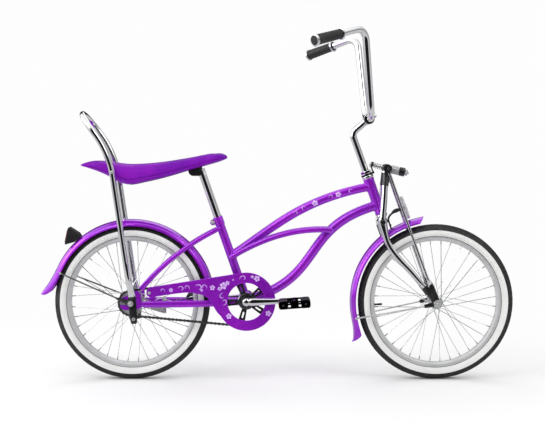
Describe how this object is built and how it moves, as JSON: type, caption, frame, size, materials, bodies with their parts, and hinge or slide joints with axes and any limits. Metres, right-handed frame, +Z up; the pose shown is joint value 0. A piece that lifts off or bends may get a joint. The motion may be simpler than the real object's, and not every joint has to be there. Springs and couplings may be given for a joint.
{
  "type": "chopper bicycle",
  "caption": "Chopper bicycle with a swept cruiser frame, springer fork, high-rise handlebar, banana seat, tall backrest hoop, wire wheels and a coaster brake.",
  "frame": {"origin": "the rider's place on the middle of the banana seat's top", "axes": "+X towards the front wheel, +Y to the rider's left, +Z up; both tyres stand on the plane 719.5 mm below the origin"},
  "size_m": [1.5491, 0.67, 1.1334],
  "materials": {
    "plated_steel": "zinc plated, satin",
    "tyre_rubber": "matt",
    "black_paint": "gloss black paint",
    "chain_steel": "dark oiled steel",
    "purple_paint": "gloss purple paint",
    "chrome_plate": "polished chrome",
    "black_plastic": "moulded, matt",
    "purple_vinyl": "padded vinyl cover"
  },
  "bodies": {
    "frame": {"rear_axle": "plated_steel", "brake_arm": "plated_steel", "brake_strap": "plated_steel", "rear_fender_stay_right": "plated_steel", "rear_fender_stay_left": "plated_steel", "seat_pan": "black_paint", "chain": "chain_steel", "head_tube": "purple_paint", "bottom_bracket_shell": "purple_paint", "seat_tube": "purple_paint", "top_tube": "purple_paint", "down_tube": "purple_paint", "middle_tube_right": "purple_paint", "middle_tube_left": "purple_paint", "dropout_right": "purple_paint", "dropout_left": "purple_paint", "seatstay_right": "purple_paint", "seatstay_left": "purple_paint", "chainstay_right": "purple_paint", "chainstay_left": "purple_paint", "fender_bridge": "purple_paint", "chainstay_bridge": "purple_paint", "chain_guard": "purple_paint", "rear_fender": "purple_paint", "headset_cup_lower": "chrome_plate", "headset_cup_upper": "chrome_plate", "seat_post": "chrome_plate", "sissy_bar": "chrome_plate", "rear_reflector": "black_plastic", "banana_seat": "purple_vinyl"},
    "rear_wheel": {"rear_wheel": "plated_steel", "rear_tyre": "tyre_rubber", "rear_cog": "plated_steel"},
    "crank": {"crank": "chrome_plate", "chainring": "black_paint"},
    "pedal_right": {"pedal_right": "black_plastic"},
    "pedal_left": {"pedal_left": "black_plastic"},
    "steering": {"steerer": "chrome_plate", "fork_leg_right": "chrome_plate", "fork_leg_left": "chrome_plate", "fork_strut_right": "chrome_plate", "fork_strut_left": "chrome_plate", "fork_yoke": "black_paint", "spring_bolt": "plated_steel", "rear_spring": "chrome_plate", "front_spring": "chrome_plate", "spring_bracket": "chrome_plate", "headset_nut": "chrome_plate", "front_axle": "plated_steel", "front_fender": "purple_paint", "front_fender_stay_right": "plated_steel", "front_fender_stay_left": "plated_steel", "front_fender_mount": "chrome_plate", "front_reflector": "black_plastic", "stem": "chrome_plate", "handlebar": "chrome_plate", "grip_right": "black_plastic", "grip_left": "black_plastic"},
    "front_wheel": {"front_wheel": "plated_steel", "front_tyre": "tyre_rubber"}
  },
  "joints": [
    {"name": "rear_wheel_spin", "type": "hinge", "parent": "frame", "child": "rear_wheel", "pos_m": [-0.155, 0, -0.4655], "axis": [0, 1, 0], "continuous": true},
    {"name": "crank_spin", "type": "hinge", "parent": "frame", "child": "crank", "pos_m": [0.219, 0, -0.4605], "axis": [0, 1, 0], "continuous": true},
    {"name": "pedal_right_spin", "type": "hinge", "parent": "crank", "child": "pedal_right", "pos_m": [0.37391, -0.1293, -0.45509], "axis": [0, 1, 0], "continuous": true},
    {"name": "pedal_left_spin", "type": "hinge", "parent": "crank", "child": "pedal_left", "pos_m": [0.06409, 0.1293, -0.46591], "axis": [0, 1, 0], "continuous": true},
    {"name": "steering", "type": "hinge", "parent": "frame", "child": "steering", "pos_m": [0.77222, 0, -0.48944], "axis": [-0.342, 0, 0.9397], "range_deg": [-60, 60]},
    {"name": "front_wheel_spin", "type": "hinge", "parent": "steering", "child": "front_wheel", "pos_m": [0.838, 0, -0.4655], "axis": [0, 1, 0], "continuous": true}
  ]
}
